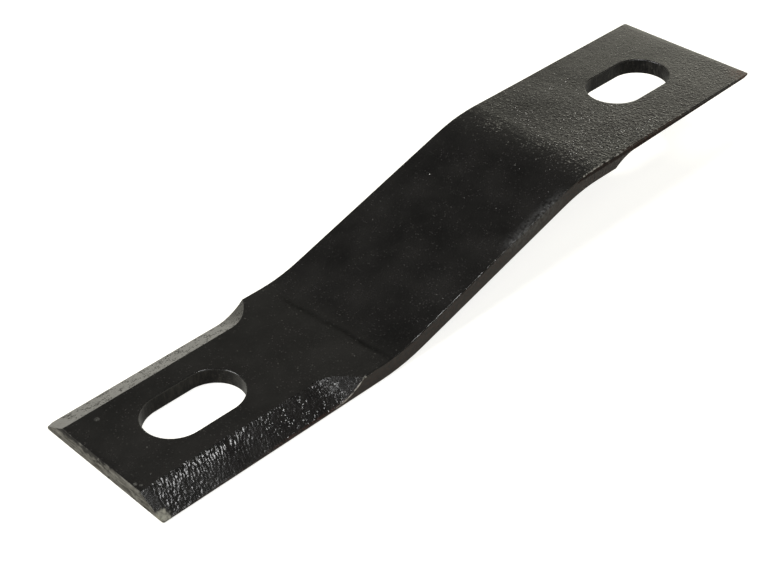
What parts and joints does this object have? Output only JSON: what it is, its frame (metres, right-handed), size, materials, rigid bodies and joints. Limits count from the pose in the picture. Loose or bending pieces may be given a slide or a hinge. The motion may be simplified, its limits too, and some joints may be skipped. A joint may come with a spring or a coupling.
{
  "type": "rotary slasher blade",
  "caption": "Cranked flat-bar mower blade with a bolt slot at each end and ground cutting edges whose bevels run out in an arc.",
  "frame": {"origin": "midway between the two bolt slots, in the seating plane under the low end", "axes": "+X along the blade from the low end to the high end, +Y across it, +Z along the bolts, up from the low end's seat"},
  "size_m": [0.38, 0.08, 0.043],
  "materials": {
    "black_paint": "satin"
  },
  "bodies": {
    "root": {"slasher_blade": "black_paint"}
  },
  "joints": []
}
